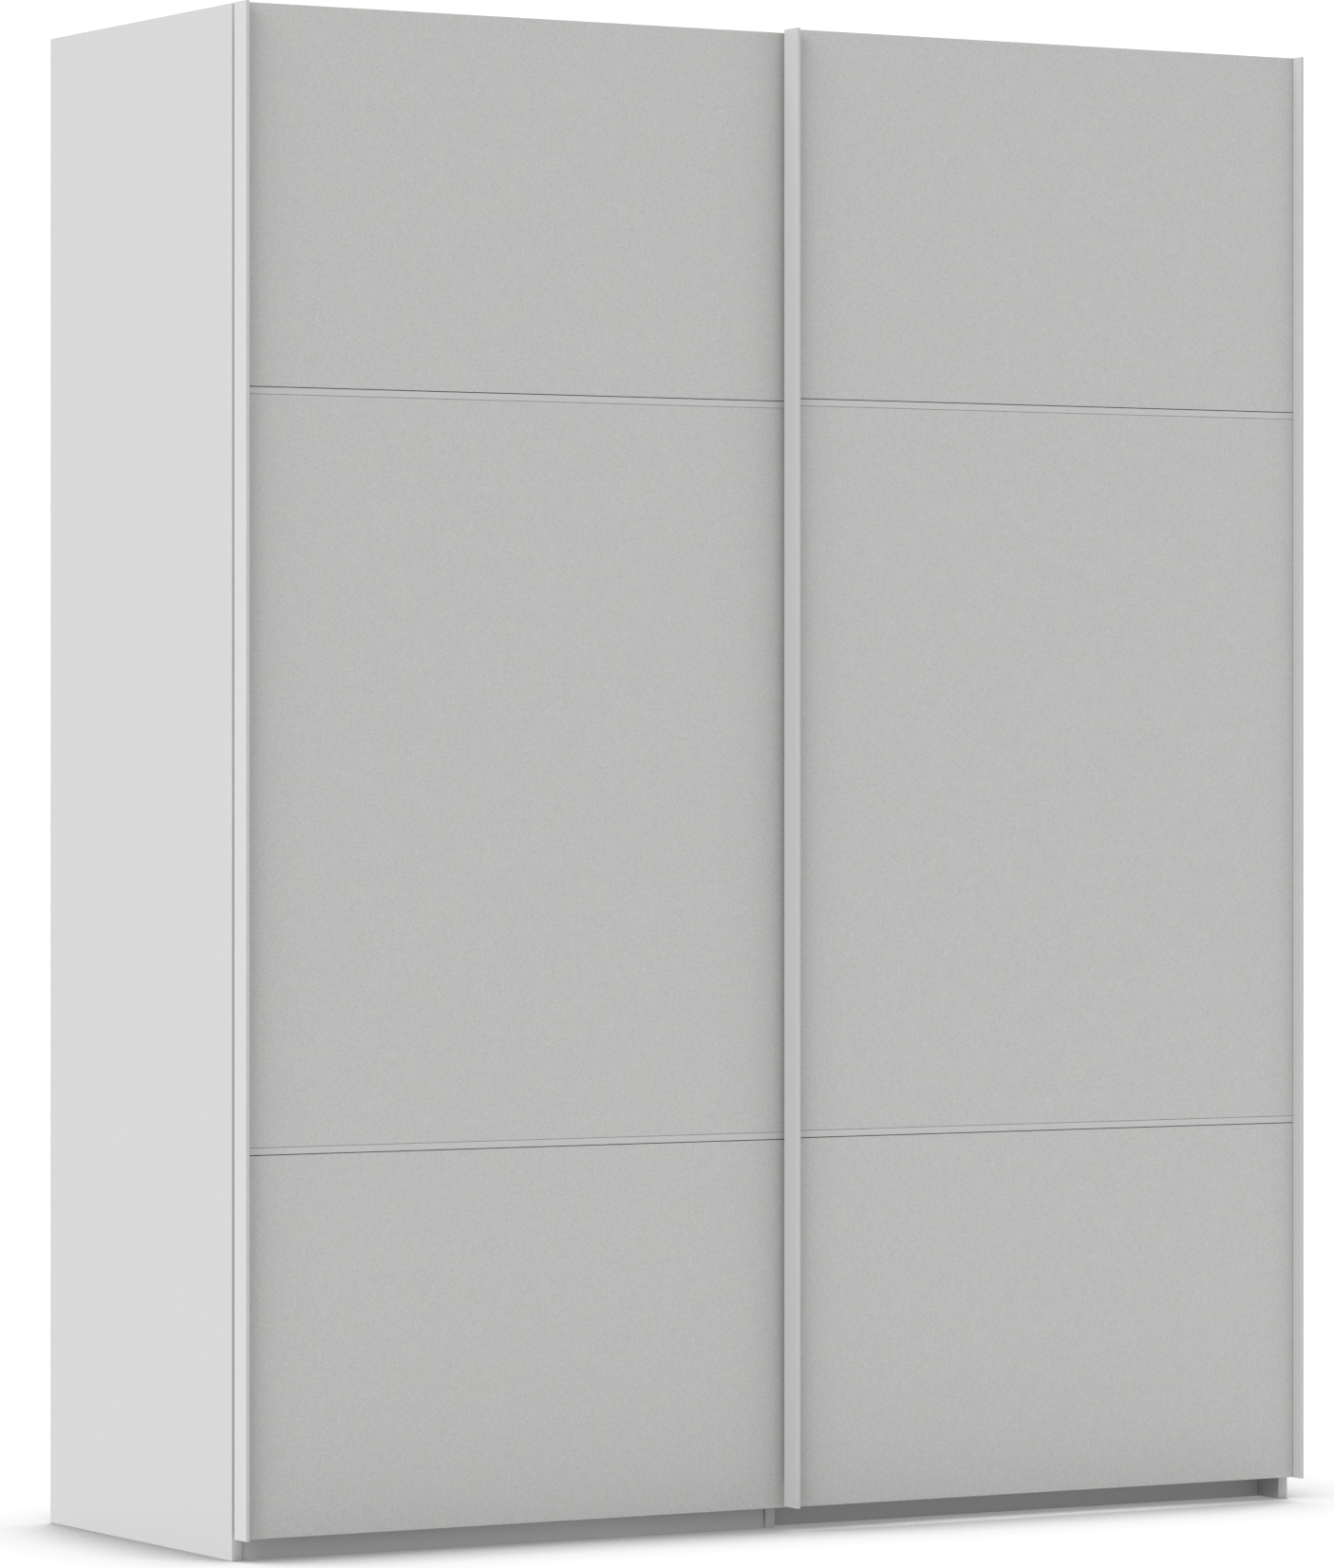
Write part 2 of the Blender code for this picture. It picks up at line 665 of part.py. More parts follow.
def build_doors():
    """The rear door on the left and the front door on the right, with their guides."""
    rear_left = -HALF_WIDTH
    rear_face = at(-REAR_FACE)
    rear_back, rear_slot = build_door("rear_door", rear_left, rear_face, REAR_DOOR_BOTTOM, rear_face)
    build_running_gear("rear_door", rear_left, rear_back, REAR_LANE, over_rear_door=False)

    front_left = HALF_WIDTH - DOOR_WIDTH
    front_face = rear_face - LANE_PITCH
    front_bottom = REAR_DOOR_BOTTOM + FRONT_DOOR_LIFT
    front_back, front_slot = build_door(
        "front_door", front_left, front_face, front_bottom, front_face - STRIP_PROUD
    )
    build_running_gear("front_door", front_left, front_back, FRONT_LANE, over_rear_door=True)

    partition_middle = (PARTITION_LEFT + PARTITION_RIGHT) / 2
    tee_guide(
        "guide_block",
        (partition_middle - BLOCK_WIDTH / 2, partition_middle + BLOCK_WIDTH / 2),
        FRONT,
        rear_back,
        rear_slot,
        "nylon",
    )
    shoe_right = rear_left + DOOR_WIDTH - SHOE_FROM_EDGE
    tee_guide(
        "rear_door_guide_shoe",
        (shoe_right - SHOE_WIDTH, shoe_right),
        rear_face,
        front_back,
        front_slot,
        "nylon",
    )


def hang_on_empty(prefix, place_of_empty):
    """Parents a door's pieces to one empty on its lane, without moving them."""
    empty = bpy.data.objects.new(prefix, None)
    empty.location = place_of_empty
    wardrobe.objects.link(empty)
    bpy.context.view_layer.update()
    for piece in wardrobe.objects:
        if piece.name.startswith(prefix + "_"):
            piece.parent = empty
            piece.matrix_parent_inverse = empty.matrix_world.inverted()


clear_scene()
wardrobe = new_collection("sliding_door_wardrobe")
cutters = new_collection("cutters", hidden=True)
build_boards()
build_back()
build_shelves()
build_rail()
build_track()
build_doors()
hang_on_empty("rear_door", (0.0, at(REAR_LANE), AXLE_HEIGHT))
hang_on_empty("front_door", (0.0, at(FRONT_LANE), AXLE_HEIGHT))
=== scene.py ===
"""Looks of the sliding door wardrobe: finishes, drilled boards, fittings, fixings, light and camera.

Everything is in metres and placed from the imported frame. -Y is the front of the wardrobe.
"""

import math

import bmesh
import bpy
from mathutils import Matrix, Vector


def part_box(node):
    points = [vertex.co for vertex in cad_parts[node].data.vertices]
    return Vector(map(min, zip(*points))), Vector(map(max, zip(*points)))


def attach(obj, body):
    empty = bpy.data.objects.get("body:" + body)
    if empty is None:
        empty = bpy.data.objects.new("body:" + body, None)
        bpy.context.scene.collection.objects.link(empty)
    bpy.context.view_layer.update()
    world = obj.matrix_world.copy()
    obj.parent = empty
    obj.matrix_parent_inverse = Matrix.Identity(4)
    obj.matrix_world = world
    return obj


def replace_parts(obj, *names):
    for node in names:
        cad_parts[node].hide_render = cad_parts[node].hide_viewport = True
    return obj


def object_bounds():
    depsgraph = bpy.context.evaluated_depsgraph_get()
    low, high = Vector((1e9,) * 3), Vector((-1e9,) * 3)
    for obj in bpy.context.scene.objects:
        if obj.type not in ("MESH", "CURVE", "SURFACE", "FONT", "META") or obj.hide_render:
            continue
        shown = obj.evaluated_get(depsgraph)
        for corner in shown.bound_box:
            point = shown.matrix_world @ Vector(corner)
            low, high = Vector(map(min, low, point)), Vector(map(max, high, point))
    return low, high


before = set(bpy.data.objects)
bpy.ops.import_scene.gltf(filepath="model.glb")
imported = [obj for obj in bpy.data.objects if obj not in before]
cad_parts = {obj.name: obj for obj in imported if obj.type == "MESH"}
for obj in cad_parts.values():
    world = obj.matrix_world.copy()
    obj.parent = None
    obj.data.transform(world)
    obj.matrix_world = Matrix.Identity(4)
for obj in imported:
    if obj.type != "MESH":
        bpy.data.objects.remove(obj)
cad_low, cad_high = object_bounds()

# Camera, as it stood for the photograph, with its lens and sensor in millimetres
CAMERA_PLACE = (-5.2504, -9.0104, 1.087)
CAMERA_TURN = -30.032  # degrees about the vertical, level otherwise
LENS = 166.71
SENSOR_WIDTH = 36.0
SHIFT_X = 0.0038
SHIFT_Y = -0.0187
FAR_CLIP = 1000.0

# Light
GROUND_LIGHT = 1.17  # light that a wide white floor throws up, the same at every height
HORIZON_LIGHT = 1.10
OVERHEAD_LIGHT = 0.60
SKY_STOPS = (-0.05, -0.02, 0.14, 0.30)  # sines of the elevations where the sky changes
SUNS = {
    # name: irradiance, spread, elevation and bearing from the front towards the left, in degrees
    "key": (0.44, 30.0, 35.0, 89.0),
    "window": (0.37, 30.0, 30.0, 60.0),
    "overhead": (0.60, 30.0, 90.0, 0.0),
}
FLOOR_SIZE = 400.0
FLOOR_DROP = 0.0002
FLOOR_REACH = 0.30  # how far from the wardrobe its painted contact shade reaches
NEAR_FLOOR = 0.26  # how far in front of the doors the floor throws up only its own light, darkened there by painted shade
FLOOR_SHADE_SAMPLES = 8
FLOOR_SHADE = (
    # painted shade: how open the paper is to the sky, and how brightly it glows there
    (0.25, 0.28),
    (0.50, 0.36),
    (0.57, 0.57),
    (0.63, 0.76),
    (0.69, 0.865),
    (0.78, 0.93),
    (0.90, 0.985),
    (1.00, 1.03),
)

# Colours
BOARD_GREY = (0.413, 0.413, 0.413)
DOOR_GREY = (0.410, 0.409, 0.405)
PROFILE_GREY = (0.428, 0.428, 0.427)
CHIP_LIGHT = (0.62, 0.49, 0.34)
CHIP_DARK = (0.36, 0.25, 0.15)
FIBRE_LIGHT = (0.40, 0.31, 0.22)
FIBRE_DARK = (0.30, 0.22, 0.15)
FOIL_GREY = (0.46, 0.46, 0.45)
ALUMINIUM = (0.74, 0.75, 0.76)
STEEL = (0.66, 0.67, 0.68)
ZINC_DARK = (0.52, 0.53, 0.55)
ZINC_LIGHT = (0.68, 0.69, 0.70)
CHROME_DARK = (0.76, 0.77, 0.78)
CHROME_LIGHT = (0.82, 0.82, 0.83)
NYLON_WHITE = (0.80, 0.80, 0.78)
JOINT_GREY = (0.56, 0.56, 0.55)
RUBBER_BLACK = (0.035, 0.035, 0.036)

# Drilled rows and shelf pins
PIN_PITCH = 0.032
PINS_AROUND = 2  # spare holes above and below the one in use
PIN_RADIUS = 0.0025
PIN_DEPTH = 0.0065
PIN_REACH = 0.007
PIN_CHAMFER = 0.0008
PIN_GAP = 0.0001  # between a pin and the shelf that lies on it
PIN_END_GAP = 0.0005  # between a pin and the end of its hole
PIN_ROWS = (0.085, 0.500)  # from the carcass front
HOLE_RADIUS = 0.00262
HOLE_STEPS = 16
HOLE_SKIN = 0.001  # a face deeper than this inside a board belongs to a hole

# Small fittings
BAND_DEPTH = 0.0012
BAND_PROUD = 0.00012
BAND_ROUNDING = 0.0003
BAND_SHORT_UPRIGHT = 0.0006  # how far a band stops before each end of an upright board
BAND_SHORT_FLAT = 0.0002
BAND_FASCIA_GAP = 0.0005
CAP_RADIUS = 0.0085
CAP_HEIGHT = 0.0011
CAP_RECESS = 0.0012
CAP_FROM_END = 0.034
CAP_FROM_EDGE = 0.070
CAP_STEPS = 32
NAIL_RADIUS = 0.0026
NAIL_HEIGHT = 0.0007
NAIL_PITCH = 0.125
NAIL_EDGE = 0.0055
NAIL_ROW_END = 0.03
NAIL_ROW_MARGIN = 0.004  # a row of nails keeps this far inside the back board that it holds
NAIL_STEPS = 14
RAIL_WALL = 0.0012

# Screws: the radius, height and recess of each kind of head, and where the heads sit
WIDE_SCREW = (0.0032, 0.0013, 0.0012)
BRACKET_SCREW = (0.0022, 0.0010, 0.0008)
GUIDE_SCREW = (0.0024, 0.0010, 0.0009)
BRACKET_PLATE = 0.003
BRACKET_SCREW_EDGE = 0.0027
GUIDE_PLATE = 0.0025
GUIDE_SCREW_EDGE = 0.0045
TRACK_FLANGE = 0.002
TRACK_SCREW_DROP = 0.018
TRACK_SCREW_END = 0.05
TRACK_SCREW_PITCH = 0.235
HANGER_GAP = 0.0003
HANGER_PLATE = 0.002
HANGER_SCREWS_ACROSS = (-0.019, 0.019)
HANGER_SCREWS_UP = (0.008, 0.030)

# Rollers: a tyre with a recessed web, studs on the web, and a ball bearing
GROOVE_HALF = 0.0015
GROOVE_DEPTH = 0.0015
GROOVE_SLOPE = 0.0003
TYRE_CHAMFER = 0.0006
RIM_WALL = 0.0020
HUB_RADIUS = 0.0078
HUB_WALL = 0.0006
WEB_DEPTH = 0.0012
WEB_DRAFT = 0.0004
BORE_RADIUS = 0.0033
INNER_RING = 0.0046
OUTER_RING = 0.0068
SHIELD_GAP = 0.0002
SHIELD_DEPTH = 0.0004
STUDS = 8
STUD_RADIUS = 0.0013
STUD_TOP = 0.0010
STUD_HEIGHT = 0.0003
STUD_STEPS = 12

# Round shapes
ROUND_STEPS = 48
SMALL_STEPS = 20
DOME_STEPS = 5
SMOOTH_ANGLE = 35.0  # in degrees: a sharper corner stays an edge
MERGE = 1e-6  # points nearer to each other than this become one

# Nodes of the frame, and places that come from them
SHELVES = ["hat_shelf_left"] + ["shelf_right_" + str(number) for number in range(1, 5)]
BANDED = ("side_panel_left", "side_panel_right", "centre_partition", "top_panel", "bottom_panel_left")
BANDED += ("bottom_panel_right", *SHELVES)
PIN_LEVELS = [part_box(name)[0].z - PIN_RADIUS - PIN_GAP for name in SHELVES[1:]]
CARCASS_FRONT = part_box("side_panel_left")[0].y
INNER_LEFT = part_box("side_panel_left")[1].x
INNER_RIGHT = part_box("side_panel_right")[0].x
PARTITION_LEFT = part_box("centre_partition")[0].x
PARTITION_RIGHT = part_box("centre_partition")[1].x


# ---------------------------------------------------------------- materials


def shader_tree(name):
    """A new node material with one Principled shader."""
    made = bpy.data.materials.new(name)
    made.use_nodes = True
    tree = made.node_tree
    tree.nodes.clear()
    output = tree.nodes.new("ShaderNodeOutputMaterial")
    shader = tree.nodes.new("ShaderNodeBsdfPrincipled")
    tree.links.new(shader.outputs["BSDF"], output.inputs["Surface"])
    return made, tree, shader


def node(tree, kind, settings=None, **inputs):
    """Adds a node. settings are its properties, and inputs are numbers or the sockets that feed it."""
    made = tree.nodes.new("ShaderNode" + kind)
    for key, value in (settings or {}).items():
        setattr(made, key, value)
    for key, value in inputs.items():
        target = made.inputs[key.replace("_", " ")]
        if isinstance(value, bpy.types.NodeSocket):
            tree.links.new(value, target)
        else:
            target.default_value = value
    return made


def stretched_coordinates(tree, scale=(1.0, 1.0, 1.0)):
    """Object coordinates, scaled on each axis so that a pattern can run along the piece."""
    place = node(tree, "TexCoord").outputs["Object"]
    return node(tree, "Mapping", Vector=place, Scale=scale).outputs["Vector"]


def noise(tree, vector, scale, detail=2.0, roughness=0.5):
    made = node(tree, "TexNoise", Vector=vector, Scale=scale, Detail=detail, Roughness=roughness)
    return made.outputs["Fac"]


def ramp(tree, factor, *stops):
    """A colour ramp through (position, colour) stops."""
    made = node(tree, "ValToRGB", Fac=factor)
    points = made.color_ramp.elements
    while len(points) < len(stops):
        points.new(0.5)
    for point, (position, colour) in zip(points, stops):
        point.position = position
        point.color = (*colour, 1.0)
    return made.outputs["Color"]


def shaded(colour, factor):
    return tuple(min(1.0, part * factor) for part in colour)


def tinted(colour, shift):
    """The colour made a little warmer, or cooler where shift is negative."""
    return (colour[0] * (1 + shift), colour[1], colour[2] * (1 - shift))


def blend_colours(tree, factor, first, second):
    made = node(tree, "Mix", {"data_type": "RGBA"})
    tree.links.new(factor, made.inputs["Factor"])
    tree.links.new(first, made.inputs["A"])
    tree.links.new(second, made.inputs["B"])
    return made.outputs["Result"]


def roughness_range(tree, shader, factor, low, high):
    spread = node(tree, "MapRange", Value=factor, To_Min=low, To_Max=high)
    tree.links.new(spread.outputs["Result"], shader.inputs["Roughness"])


def bump(tree, shader, height, strength, distance):
    made = node(tree, "Bump", Strength=strength, Distance=distance, Height=height)
    tree.links.new(made.outputs["Normal"], shader.inputs["Normal"])


def speckled_colour(tree, colour, speckle, warmth=0.0):
    """Fine light and dark specks, with a drift between warm and cool where asked, as decor paper has."""
    place = stretched_coordinates(tree)
    specks = noise(tree, place, scale=330.0, detail=3.0, roughness=0.7)
    dark = shaded(colour, 1 - speckle)
    light = shaded(colour, 1 + speckle)
    if not warmth:
        return ramp(tree, specks, (0.30, dark), (0.70, light))
    tall = stretched_coordinates(tree, (1.0, 1.0, 0.7))
    drift = noise(tree, tall, scale=60.0, detail=5.0, roughness=0.9)
    cool = ramp(tree, specks, (0.30, tinted(dark, -warmth)), (0.70, tinted(light, -warmth)))
    warm = ramp(tree, specks, (0.30, tinted(dark, warmth)), (0.70, tinted(light, warmth)))
    return blend_colours(tree, drift, cool, warm)


def chipboard_colour(tree):
    """Pressed wood chips: short pale flakes in a darker brown."""
    flakes = node(tree, "TexVoronoi", Vector=stretched_coordinates(tree, (1.0, 1.0, 2.2)), Scale=420.0)
    stops = ((0.15, CHIP_DARK), (0.55, CHIP_LIGHT), (0.9, shaded(CHIP_LIGHT, 1.2)))
    return ramp(tree, flakes.outputs["Color"], *stops)


def facing_back(tree):
    """1 where the surface faces the wall behind the wardrobe, otherwise 0."""
    normal = node(tree, "NewGeometry").outputs["Normal"]
    along = node(tree, "SeparateXYZ", Vector=normal).outputs["Y"]
    least = 0.9
    test = node(tree, "Math", {"operation": "GREATER_THAN"})
    tree.links.new(along, test.inputs[0])
    test.inputs[1].default_value = least
    return test.outputs["Value"]


def melamine(name, grey, speckle, warmth=0.0, raw_back_edge=False):
    """Matte melamine face. raw_back_edge leaves the rear edge of the board as bare chipboard."""
    made, tree, shader = shader_tree(name)
    colour = speckled_colour(tree, grey, speckle, warmth)
    if raw_back_edge:
        colour = blend_colours(tree, facing_back(tree), colour, chipboard_colour(tree))
    tree.links.new(colour, shader.inputs["Base Color"])
    pearl = noise(tree, stretched_coordinates(tree), scale=950.0)
    roughness_range(tree, shader, pearl, low=0.40, high=0.52)
    bump(tree, shader, pearl, strength=0.10, distance=0.0002)
    shader.inputs["Specular IOR Level"].default_value = 0.35
    return made


def edge_band():
    """Plastic edge band, a touch smoother than the board face."""
    made, tree, shader = shader_tree("edge_band")
    colour = speckled_colour(tree, shaded(BOARD_GREY, 1.02), speckle=0.02)
    tree.links.new(colour, shader.inputs["Base Color"])
    ripple = noise(tree, stretched_coordinates(tree, (1.0, 1.0, 0.2)), scale=300.0)
    roughness_range(tree, shader, ripple, low=0.32, high=0.42)
    bump(tree, shader, ripple, strength=0.08, distance=0.0002)
    return made


def lacquered_profile():
    """Powder-coated metal: satin, with a fine orange peel."""
    made, tree, shader = shader_tree("lacquered_profile")
    colour = speckled_colour(tree, PROFILE_GREY, speckle=0.02)
    tree.links.new(colour, shader.inputs["Base Color"])
    peel = noise(tree, stretched_coordinates(tree), scale=700.0, detail=1.0)
    roughness_range(tree, shader, peel, low=0.34, high=0.44)
    bump(tree, shader, peel, strength=0.12, distance=0.0002)
    shader.inputs["Specular IOR Level"].default_value = 0.4
    return made


def bare_chipboard():
    made, tree, shader = shader_tree("bare_chipboard")
    tree.links.new(chipboard_colour(tree), shader.inputs["Base Color"])
    grain = noise(tree, stretched_coordinates(tree), scale=800.0, detail=3.0)
    roughness_range(tree, shader, grain, low=0.8, high=0.95)
    bump(tree, shader, grain, strength=0.5, distance=0.0005)
    return made


def back_board():
    """Thin fibreboard: grey foil inside, bare pressed fibre on the wall side."""
    made, tree, shader = shader_tree("back_board")
    tall = stretched_coordinates(tree, (1.0, 1.0, 0.35))
    fibres = noise(tree, tall, scale=520.0, detail=5.0, roughness=0.75)
    clouds = noise(tree, stretched_coordinates(tree), scale=9.0, detail=4.0, roughness=0.6)
    thin = ramp(tree, fibres, (0.35, FIBRE_DARK), (0.65, FIBRE_LIGHT))
    paler = 1.18
    thick = ramp(tree, fibres, (0.35, shaded(FIBRE_DARK, paler)), (0.65, shaded(FIBRE_LIGHT, paler)))
    bare = blend_colours(tree, clouds, thin, thick)
    foil = speckled_colour(tree, FOIL_GREY, speckle=0.03)
    back = facing_back(tree)
    tree.links.new(blend_colours(tree, back, foil, bare), shader.inputs["Base Color"])
    roughness_range(tree, shader, back, low=0.5, high=0.85)
    bump(tree, shader, fibres, strength=0.15, distance=0.0003)
    return made


def brushed_metal(name, colour, direction, low, high):
    """Metal with fine lines drawn along one direction."""
    made, tree, shader = shader_tree(name)
    lines = noise(tree, stretched_coordinates(tree, direction), scale=900.0, detail=3.0, roughness=0.6)
    tint = ramp(tree, lines, (0.3, shaded(colour, 0.93)), (0.7, shaded(colour, 1.05)))
    tree.links.new(tint, shader.inputs["Base Color"])
    roughness_range(tree, shader, lines, low, high)
    bump(tree, shader, lines, strength=0.12, distance=0.0001)
    shader.inputs["Metallic"].default_value = 1.0
    return made


def zinc_plate():
    """Zinc-plated steel with its cloudy crystals."""
    made, tree, shader = shader_tree("zinc_plate")
    crystals = node(tree, "TexVoronoi", Vector=stretched_coordinates(tree), Scale=260.0)
    tint = ramp(tree, crystals.outputs["Color"], (0.2, ZINC_DARK), (0.8, ZINC_LIGHT))
    tree.links.new(tint, shader.inputs["Base Color"])
    wear = noise(tree, stretched_coordinates(tree), scale=300.0, detail=3.0)
    roughness_range(tree, shader, wear, low=0.28, high=0.46)
    bump(tree, shader, wear, strength=0.10, distance=0.0002)
    shader.inputs["Metallic"].default_value = 1.0
    return made


def chrome():
    """Polished chrome, with a faint haze drawn along the tube."""
    made, tree, shader = shader_tree("chrome_tube")
    haze = noise(tree, stretched_coordinates(tree, (0.05, 1.0, 1.0)), scale=500.0)
    tint = ramp(tree, haze, (0.3, CHROME_DARK), (0.7, CHROME_LIGHT))
    tree.links.new(tint, shader.inputs["Base Color"])
    roughness_range(tree, shader, haze, low=0.08, high=0.16)
    bump(tree, shader, haze, strength=0.03, distance=0.0001)
    shader.inputs["Metallic"].default_value = 1.0
    return made


def moulded_plastic(name, colour, low, high):
    """Injection-moulded plastic with a fine spark-eroded texture."""
    made, tree, shader = shader_tree(name)
    flow = noise(tree, stretched_coordinates(tree), scale=180.0, detail=3.0)
    tint = ramp(tree, flow, (0.3, shaded(colour, 0.96)), (0.7, shaded(colour, 1.03)))
    tree.links.new(tint, shader.inputs["Base Color"])
    texture = noise(tree, stretched_coordinates(tree), scale=1500.0)
    roughness_range(tree, shader, texture, low, high)
    bump(tree, shader, texture, strength=0.2, distance=0.0002)
    return made


MATERIALS = {
    "board": melamine("melamine_board", BOARD_GREY, speckle=0.06),
    "open_board": melamine("melamine_board_bare_rear", BOARD_GREY, speckle=0.06, raw_back_edge=True),
    "door": melamine("melamine_door", DOOR_GREY, speckle=0.10, warmth=0.09),
    "band": edge_band(),
    "profile": lacquered_profile(),
    "chip": bare_chipboard(),
    "back": back_board(),
    "aluminium": brushed_metal("extruded_aluminium", ALUMINIUM, (0.02, 1.0, 1.0), low=0.25, high=0.38),
    "zinc": zinc_plate(),
    "steel": brushed_metal("bright_steel", STEEL, (1.0, 1.0, 1.0), low=0.2, high=0.32),
    "chrome": chrome(),
    "nylon": moulded_plastic("nylon", NYLON_WHITE, low=0.38, high=0.5),
    "cap": moulded_plastic("cover_cap", BOARD_GREY, low=0.4, high=0.5),
    "joint": moulded_plastic("joint_strip", JOINT_GREY, low=0.4, high=0.5),
    "rubber": moulded_plastic("black_rubber", RUBBER_BLACK, low=0.6, high=0.75),
}

# The look of each node, by how its name starts, and otherwise by a word in it
LOOK_BY_START = {
    "side_panel": "open_board",
    "centre_partition": "open_board",
    "top_panel": "open_board",
    "bottom_panel": "open_board",
    "hat_shelf": "open_board",
    "shelf_right": "open_board",
    "plinth": "board",
    "rear_plinth": "board",
    "fascia": "board",
    "back_panel": "back",
    "back_joint": "joint",
    "clothes_rail": "chrome",
    "rail_bracket": "zinc",
    "running_track": "aluminium",
    "track_stop": "rubber",
    "guide_block": "nylon",
    "rear_door_guide_shoe": "nylon",
}
LOOK_BY_WORD = {"panel": "door", "divider": "profile", "strip": "profile", "roller": "nylon"}


def look_of(name):
    """The look of a node of the frame. What no rule names is zinc-plated steel."""
    for start, look in LOOK_BY_START.items():
        if name.startswith(start):
            return look
    for word, look in LOOK_BY_WORD.items():
        if word in name:
            return look
    return "zinc"


def finish_frame():
    """Gives each node of the frame its procedural finish."""
    for name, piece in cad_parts.items():
        piece.data.materials.clear()
        piece.data.materials.append(MATERIALS[look_of(name)])


# ---------------------------------------------------------------- mesh tools


def new_piece(name, shape, look, body, smooth=True):
    """A piece from a bmesh whose points are in the row frame. It rides on the body."""
    bmesh.ops.recalc_face_normals(shape, faces=shape.faces)
    data = bpy.data.meshes.new(name)
    shape.to_mesh(data)
    shape.free()
    if smooth:
        data.shade_smooth()
        data.set_sharp_from_angle(angle=math.radians(SMOOTH_ANGLE))
    data.materials.append(MATERIALS[look])
    made = bpy.data.objects.new(name, data)
    bpy.context.scene.collection.objects.link(made)
    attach(made, body)
    return made


def axis_matrix(place, axis):
    """Turns +Z onto the axis and moves to the place."""
    return Matrix.Translation(place) @ Vector(axis).to_track_quat("Z", "Y").to_matrix().to_4x4()


def lathe(shape, profile, place, axis, steps=SMALL_STEPS):
    """Adds a turned form to the bmesh. The profile is its (radius, height) corners, in order."""
    start = [shape.verts.new((radius, 0.0, height)) for radius, height in profile]
    edges = [shape.edges.new(pair) for pair in zip(start, start[1:])]
    bmesh.ops.spin(
        shape,
        geom=start + edges,
        cent=(0, 0, 0),
        axis=(0, 0, 1),
        dvec=(0, 0, 0),
        angle=2 * math.pi,
        steps=steps,
        use_merge=True,
        use_duplicate=False,
    )
    points = [vert for vert in shape.verts if not vert.tag]
    bmesh.ops.remove_doubles(shape, verts=points, dist=MERGE)
    points = [vert for vert in shape.verts if not vert.tag]
    bmesh.ops.transform(shape, matrix=axis_matrix(place, axis), verts=points)
    for vert in points:
        vert.tag = True


def domed_head(radius, height, recess=0.0):
    """Profile of a low domed head, with a round recess in the middle where asked."""
    rim = 0.25 * height
    sunk = -0.2 * height
    recess_floor = 0.35 * height
    profile = [(0.0, height)]
    if recess:
        profile = [(0.0, recess_floor), (0.8 * recess, recess_floor), (recess, 0.96 * height)]
    for step in range(1, DOME_STEPS + 1):
        angle = step / DOME_STEPS * math.pi / 2
        reach = radius * math.sin(angle)
        if reach > 1.05 * recess:
            profile.append((reach, rim + (height - rim) * math.cos(angle)))
    return profile + [(radius, sunk), (0.0, sunk)]


def add_box(shape, low, high, radius=0.0):
    """Adds a box with rounded edges to the bmesh."""
    before = set(shape.verts)
    bmesh.ops.create_cube(shape, size=1.0)
    points = [vert for vert in shape.verts if vert not in before]
    low = Vector(low)
    high = Vector(high)
    bmesh.ops.scale(shape, vec=high - low, verts=points)
    bmesh.ops.translate(shape, vec=(low + high) / 2, verts=points)
    if radius:
        edges = {edge for vert in points for edge in vert.link_edges}
        bmesh.ops.bevel(shape, geom=list(edges), offset=radius, segments=2, profile=0.5, affect="EDGES")


def joined_heads(name, places, profile, axis, look, body, steps=SMALL_STEPS):
    """One piece that holds the same small turned form at each place."""
    shape = bmesh.new()
    for place in places:
        lathe(shape, profile, place, axis, steps)
    return new_piece(name, shape, look, body)


def mid_height(name):
    """The height of the middle of a node."""
    low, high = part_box(name)
    return (low.z + high.z) / 2


def spaced(start, end, pitch):
    """Evenly spaced places from start to end, no further apart than the pitch."""
    count = max(1, math.ceil((end - start) / pitch))
    return [start + (end - start) * index / count for index in range(count + 1)]


# ---------------------------------------------------------------- drilled boards and shelf pins


def hole_places(x, direction):
    """(place, axis) of each pin hole drilled into a face at x."""
    for level in PIN_LEVELS:
        for step in range(-PINS_AROUND, PINS_AROUND + 1):
            for row in PIN_ROWS:
                yield (x, CARCASS_FRONT + row, level + step * PIN_PITCH), (direction, 0, 0)


def drill_at(faces):
    """A cutter with one peg for each hole in the faces."""
    drill = bmesh.new()
    for x, direction in faces:
        for place, axis in hole_places(x, direction):
            made = bmesh.ops.create_cone(
                drill,
                cap_ends=True,
                segments=HOLE_STEPS,
                radius1=HOLE_RADIUS,
                radius2=HOLE_RADIUS,
                depth=2 * PIN_DEPTH,
            )
            bmesh.ops.transform(drill, matrix=axis_matrix(place, axis), verts=made["verts"])
    data = bpy.data.meshes.new("drill")
    drill.to_mesh(data)
    drill.free()
    cutter = bpy.data.objects.new("drill", data)
    bpy.context.scene.collection.objects.link(cutter)
    return cutter


